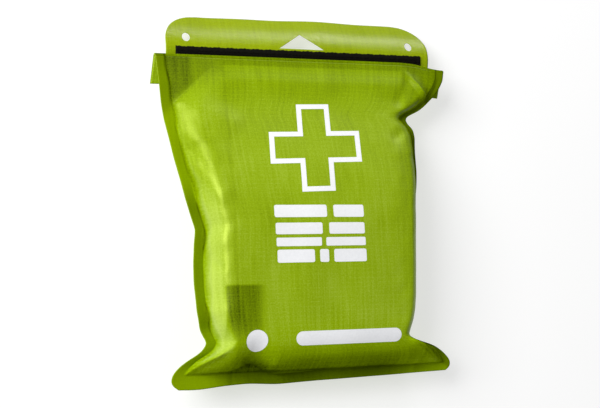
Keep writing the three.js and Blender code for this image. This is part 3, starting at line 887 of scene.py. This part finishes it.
def tape_pile(band, span, top, height, rolled):
    """Short curled hooks or loops that stand on a tape, or hang from it if their height is negative."""
    rng = np.random.default_rng(7)
    half = TAPE_HALF - 1
    columns, rows = int(2 * half / PILE_PITCH), int((span[1] - span[0] - 0.8) / PILE_PITCH)
    length = abs(height)
    verts, faces = [], []
    for i in range(columns):
        for j in range(rows):
            x = -half + PILE_PITCH * (i + 0.5 * (j % 2)) + rng.uniform(-0.12, 0.12)
            y = span[0] + 0.6 + PILE_PITCH * j + rng.uniform(-0.12, 0.12)
            lean = rng.uniform(-0.35, 0.35)
            base = len(verts)
            rings = []
            for k, (along, radius) in enumerate(((0, 0.24), (0.6, 0.17), (1.0, 0.05))):
                for a in range(4):
                    angle = a * math.pi / 2
                    verts.append((
                        x + radius * math.cos(angle) + lean * along * length,
                        y + radius * math.sin(angle) + 0.3 * along**2 * length,
                        top + along * height,
                    ))
                rings.append([base + 4 * k + a for a in range(4)])
                if k:
                    low, high = rings[k - 1], rings[k]
                    faces += [[low[a], low[a - 3], high[a - 3], high[a]] for a in range(4)]
            faces.append(rings[-1])
    if height < 0:
        faces = [face[::-1] for face in faces]
    laid = np.array(verts).T
    points = closure_frame(*(roll_over(*laid) if rolled else laid))
    return new_piece(band.name + "_pile", points, faces, band.data.materials[0], smooth=False)


hook = tape_band("hook_tape_band", HOOK_TOP, HOOK_Y, hook_cloth, True)
hook_hooks = tape_pile(hook, HOOK_Y, HOOK_TOP, HOOK_HEIGHT, True)
loop = tape_band("loop_tape_band", LOOP_TOP, LOOP_Y, loop_cloth, False)
loop_loops = tape_pile(loop, LOOP_Y, LOOP_TOP - TAPE_THICKNESS, -LOOP_HEIGHT, False)
tapes = ((hook, hook_hooks, "hook_tape", "flap"), (loop, loop_loops, "loop_tape", "neck"))
for band, pile, node, body in tapes:
    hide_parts(node)
    for piece in (band, pile):
        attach(piece, body)


# ---- Prints ----------------------------------------------

PRINT_LIFT = 0.06
INK_THICKNESS = 0.03
LONGEST_EDGE = 1.6


def printed(name, cells):
    """Ink on the front: flat cells (a list of corner loops, finely cut) laid on the cloth's surface."""
    bm = bmesh.new()
    for loop in cells:
        verts = [bm.verts.new((x, y, 0)) for x, y in loop]
        bm.faces.new(verts)
    bmesh.ops.remove_doubles(bm, verts=bm.verts, dist=1e-4)
    while long_edges := [e for e in bm.edges if e.calc_length() > LONGEST_EDGE]:
        bmesh.ops.subdivide_edges(bm, edges=long_edges, cuts=1, use_grid_fill=True)
    bmesh.ops.triangulate(bm, faces=bm.faces)
    points = np.array([v.co for v in bm.verts])
    points[:, 2] = front_z(points[:, 0], points[:, 1]) + PRINT_LIFT
    bm.verts.index_update()
    faces = [[v.index for v in f.verts] for f in bm.faces]
    bm.free()
    piece = new_piece(name, points, faces, ink)
    thicken(piece, INK_THICKNESS)
    piece.data.set_sharp_from_angle(angle=math.radians(40))
    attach(piece, "pouch")
    return piece


def rectangle(x0, x1, y0, y1):
    return [(x0, y0), (x1, y0), (x1, y1), (x0, y1)]


def split_rectangle(x0, x1, y0, y1, size):
    """A rectangle as a grid of small cells."""
    columns = max(1, round((x1 - x0) / size))
    rows = max(1, round((y1 - y0) / size))
    xs, ys = np.linspace(x0, x1, columns + 1), np.linspace(y0, y1, rows + 1)
    return [rectangle(xs[i], xs[i + 1], ys[j], ys[j + 1]) for i in range(columns) for j in range(rows)]


CROSS_SIZE = 49.6
CROSS_ARM = 18.0
CROSS_STROKE = 2.7
CROSS_FOOT = (-1.5, 0.75)  # middle of its lower edge
LEAN = (0.045, 0.034)  # how far the print leans, across per length and along per width


def surface_run():
    """Distance along the cloth up the middle of the front, as a function of y."""
    y = np.linspace(-90, 70, 641)
    z = front_z(np.full_like(y, CROSS_FOOT[0]), y)
    run = np.concatenate([[0], np.cumsum(np.hypot(np.diff(y), np.diff(z)))])
    return y, run - np.interp(CROSS_FOOT[1], y, run)


RUN_Y, RUN = surface_run()


def on_front(across, along):
    y = np.interp(along, RUN, RUN_Y)
    return CROSS_FOOT[0] + across + LEAN[0] * along, y + LEAN[1] * across


def cross_outline():
    """The outline of an upright cross: cells along the strokes of its twelve sides."""
    h, a, t = CROSS_SIZE / 2, CROSS_ARM / 2, CROSS_STROKE
    strokes = [
        (-a, a, h - t, h), (-a, a, -h, t - h), (h - t, h, -a, a), (-h, t - h, -a, a),
        (a - t, a, a, h - t), (-a, t - a, a, h - t), (a - t, a, t - h, -a), (-a, t - a, t - h, -a),
        (a - t, h - t, a - t, a), (t - h, t - a, a - t, a),
        (a - t, h - t, -a, t - a), (t - h, t - a, -a, t - a),
    ]
    cells = [c for x0, x1, y0, y1 in strokes for c in split_rectangle(x0, x1, y0 + h, y1 + h, 0.9)]
    return [[tuple(map(float, on_front(u, v))) for u, v in cell] for cell in cells]


# Plain bars stand where the printed words are: (bottom, top, spans of words).
WORD_ROWS = [
    (-12.6, -6.3, [(-26.0, 1.6), (5.2, 21.6)]),
    (-21.2, -15.4, [(-25.7, -1.2), (2.4, 21.6)]),
    (-27.2, -22.9, [(-25.5, -1.8), (0.6, 21.8)]),
    (-35.4, -28.9, [(-25.2, -5.8), (-3.0, 1.8), (4.6, 22.0)]),
]


def rounded_bar(x0, x1, y0, y1, round_share=1.0):
    """A bar with rounded corners, or round ends if the share is 1, as columns of cells."""
    radius = (y1 - y0) / 2 * round_share
    middle, half_height = (y0 + y1) / 2, (y1 - y0) / 2
    turn = [math.pi / 2 * i / 6 for i in range(7)]
    columns = max(2, int((x1 - x0 - 2 * radius) / 1.3))
    xs = [x0 + radius * (1 - math.cos(t)) for t in turn]
    xs += list(np.linspace(x0 + radius, x1 - radius, columns + 1)[1:-1])
    xs += [x1 - radius * (1 - math.sin(t)) for t in turn]

    def half(x):
        inset = max(x0 + radius - x, x - (x1 - radius), 0)
        return half_height - radius + math.sqrt(max(radius**2 - inset**2, 0))

    cells = []
    bands = 5
    for a, b in zip(xs[:-1], xs[1:]):
        if b - a < 1e-6:
            continue
        for j in range(bands):
            low, high = -1 + 2 * j / bands, -1 + 2 * (j + 1) / bands
            loop = [(a, half(a) * low), (b, half(b) * low), (b, half(b) * high), (a, half(a) * high)]
            loop = [(x, middle + y) for x, y in loop]
            cells.append([p for i, p in enumerate(loop) if math.dist(p, loop[i - 1]) > 1e-6])
    return cells


def disc(x, y, radius):
    """A disc as rings of cells."""
    cells = []
    rings, sides = 4, 28
    for ring in range(rings):
        inner, outer = radius * ring / rings, radius * (ring + 1) / rings
        for i in range(sides):
            a, b = 2 * math.pi * i / sides, 2 * math.pi * (i + 1) / sides
            loop = [(outer, a), (outer, b)] + ([(inner, b), (inner, a)] if ring else [(0, 0)])
            cells.append([(x + r * math.cos(t), y + r * math.sin(t)) for r, t in loop])
    return cells


printed("print_cross", cross_outline())
word_cells = []
for low, high, spans in WORD_ROWS:
    for start, end in spans:
        word_cells += rounded_bar(start, end, low, high, 0.3)
printed("print_word_bars", word_cells)
printed("print_maker_disc", disc(-36.6, -73.4, 5.4))
printed("print_maker_bar", rounded_bar(-17.0, 39.5, -76.6, -69.6))


# ---- Leaflet: the large sheet just under the front -------

def paper(name, colour):
    nodes = Nodes(name)
    place = nodes.place()
    fibres = nodes.noise(place, 1800.0, 4.0)
    cloud = nodes.noise(place, 120.0)
    share = nodes.math("MULTIPLY_ADD", fibres, 0.6, nodes.math("MULTIPLY", cloud, 0.4))
    return nodes.shade(Base_Color=nodes.mix(share, dulled(colour, 0.76), colour), Roughness=0.75,
                       Normal=nodes.bump(0.3, 0.03, fibres))


LEAFLET_LOW, LEAFLET_HIGH = mm_box("first_aid_leaflet")
LEAFLET_LAYERS = 3
LAYER_PITCH = 0.5
LEAFLET_SHORT = 8  # how far short of the CAD leaflet's top it ends, where the front closes down on it


def build_leaflet():
    """A sheet of paper folded to and fro in three, lying along the inside of the front."""
    x0, x1 = LEAFLET_LOW[0], LEAFLET_HIGH[0]
    radius = LAYER_PITCH / 2
    path = []
    for layer in range(LEAFLET_LAYERS):
        ends = (x0 + radius, x1 - radius)
        start, end = ends if layer % 2 == 0 else ends[::-1]
        path += [(x, -layer * LAYER_PITCH) for x in np.linspace(start, end, 44)]
        if layer < LEAFLET_LAYERS - 1:
            side = 1 if layer % 2 == 0 else -1
            for k in range(1, 6):
                angle = math.pi / 2 - math.pi * k / 6
                drop = radius - radius * math.sin(angle)
                path.append((end + side * radius * math.cos(angle), -layer * LAYER_PITCH - drop))
    x, drop = np.array(path).T
    y = np.linspace(LEAFLET_LOW[1], LEAFLET_HIGH[1] - LEAFLET_SHORT, 46)
    grid_x = np.repeat(x[None], len(y), axis=0)
    grid_y = across(y, len(x))
    rest = front_z(grid_x, grid_y) - SHEET - 0.7
    z = np.maximum(rest, MID_Z + 1.9) + drop
    points = np.stack([grid_x, grid_y, z], -1).reshape(-1, 3)
    material = paper("leaflet_paper", rgb(236, 236, 230))
    leaflet = new_piece("folded_leaflet", points, grid_faces(len(y), len(x)), material)
    thicken(leaflet, 0.12, offset=0)
    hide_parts("first_aid_leaflet")
    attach(leaflet, "pouch")


build_leaflet()


# ---- Contents: the CAD solids inside the pouch, each with the material of the real thing 

def film(name, colour, roughness, crinkle, metallic=0.0, scale=140.0):
    """Thin film, welded flat and crinkled where it is filled."""
    nodes = Nodes(name)
    place = nodes.place()
    folds = nodes.add("ShaderNodeTexVoronoi", {"Vector": place, "Scale": scale})
    haze = nodes.noise(place, 260.0, 3.0)
    rough = nodes.math("MULTIPLY_ADD", haze, 0.12, roughness - 0.06)
    return nodes.shade(Base_Color=nodes.mix(haze, dulled(colour, 0.8), colour), Roughness=rough,
                       Normal=nodes.bump(crinkle, 0.3, folds), Metallic=metallic)


def open_weave(name, thread, shade, pitch):
    nodes = Nodes(name)
    place = nodes.add("ShaderNodeSeparateXYZ", {0: nodes.place()})
    ribs = [nodes.math("SINE", nodes.math("MULTIPLY", place.outputs[axis], 2 * math.pi / (pitch * MM)))
            for axis in (0, 1)]
    weave = nodes.math("MULTIPLY_ADD", nodes.math("MULTIPLY", *ribs), 0.5, 0.5)
    return nodes.shade(Base_Color=nodes.mix(weave, shade, thread), Roughness=0.95,
                       Normal=nodes.bump(0.6, 0.15, weave))


def moulded(name, colour, roughness):
    """Moulded plastic with a fine spark-eroded grain."""
    nodes = Nodes(name)
    grain = nodes.noise(nodes.place(), 2600.0)
    return nodes.shade(Base_Color=nodes.mix(grain, dulled(colour, 0.85), colour), Roughness=roughness,
                       Normal=nodes.bump(0.2, 0.03, grain))


def brushed(name, colour, roughness):
    nodes = Nodes(name)
    stretched = nodes.add("ShaderNodeMapping", {"Vector": nodes.place(), "Scale": (9000, 240, 9000)})
    scratches = nodes.noise(stretched, 1.0, 3.0)
    rough = nodes.math("MULTIPLY_ADD", scratches, 0.2, roughness - 0.1)
    return nodes.shade(Base_Color=nodes.mix(scratches, dulled(colour, 0.82), colour), Roughness=rough,
                       Normal=nodes.bump(0.15, 0.01, scratches), Metallic=1.0)


CONTENTS = {
    "packet_paper": paper("packet_paper", rgb(234, 232, 224)),
    "metallised_film": film("metallised_film", rgb(214, 178, 96), 0.25, 0.9, metallic=1.0),
    "clear_film": film("clear_film", rgb(214, 226, 232), 0.3, 0.4, scale=90.0),
    "gauze": open_weave("gauze", rgb(242, 239, 230), rgb(196, 192, 180), 1.1),
    "adhesive_tape": open_weave("adhesive_tape", rgb(216, 169, 130), rgb(186, 138, 102), 0.5),
    "spool_plastic": moulded("spool_plastic", rgb(232, 235, 238), 0.45),
    "steel": brushed("steel", rgb(206, 208, 212), 0.32),
    "grip_plastic": moulded("grip_plastic", rgb(35, 40, 43), 0.5),
}


def dress_contents():
    """Gives each CAD solid that stays the material of the slot its record names."""
    for part in frame["record"]["subparts"]:
        if part["material_slot"] in CONTENTS:
            mesh = frame["nodes"][part["node"]].data
            mesh.materials.clear()
            mesh.materials.append(CONTENTS[part["material_slot"]])


dress_contents()

# ---- Floor, light ----------------------------------------

def add_floor():
    half = 3000
    corners = [(-half, -half, 0), (half, -half, 0), (half, half, 0), (-half, half, 0)]
    white = Nodes("floor_white").shade(Base_Color=(0.45, 0.45, 0.45, 1), Roughness=0.9,
                                       Emission_Color=(1, 1, 1, 1), Emission_Strength=0.6)
    floor = new_piece("floor", corners, [[0, 1, 2, 3]], white)
    floor.location.z = -0.0001


def add_area(name, place, size, watts):
    """Place and size are in metres."""
    data = bpy.data.lights.new(name, "AREA")
    data.shape = "RECTANGLE"
    data.size, data.size_y = size
    data.energy = watts
    light = bpy.data.objects.new(name, data)
    light.location = place
    light.rotation_euler = (Vector((0, 0, 0.02)) - Vector(place)).to_track_quat("-Z", "Y").to_euler()
    bpy.context.scene.collection.objects.link(light)


def add_lights():
    world = bpy.data.worlds.new("studio")
    world.use_nodes = True
    background = world.node_tree.nodes["Background"]
    background.inputs["Color"].default_value = (1, 1, 1, 1)
    background.inputs["Strength"].default_value = 0.2
    bpy.context.scene.world = world
    add_area("key", (-0.80, 0.34, 0.78), (0.7, 0.7), 15.5)
    add_area("rim", (0.42, 0.93, 0.42), (0.6, 0.14), 2.7)


add_floor()
add_lights()
bpy.context.scene.view_settings.view_transform = "Standard"
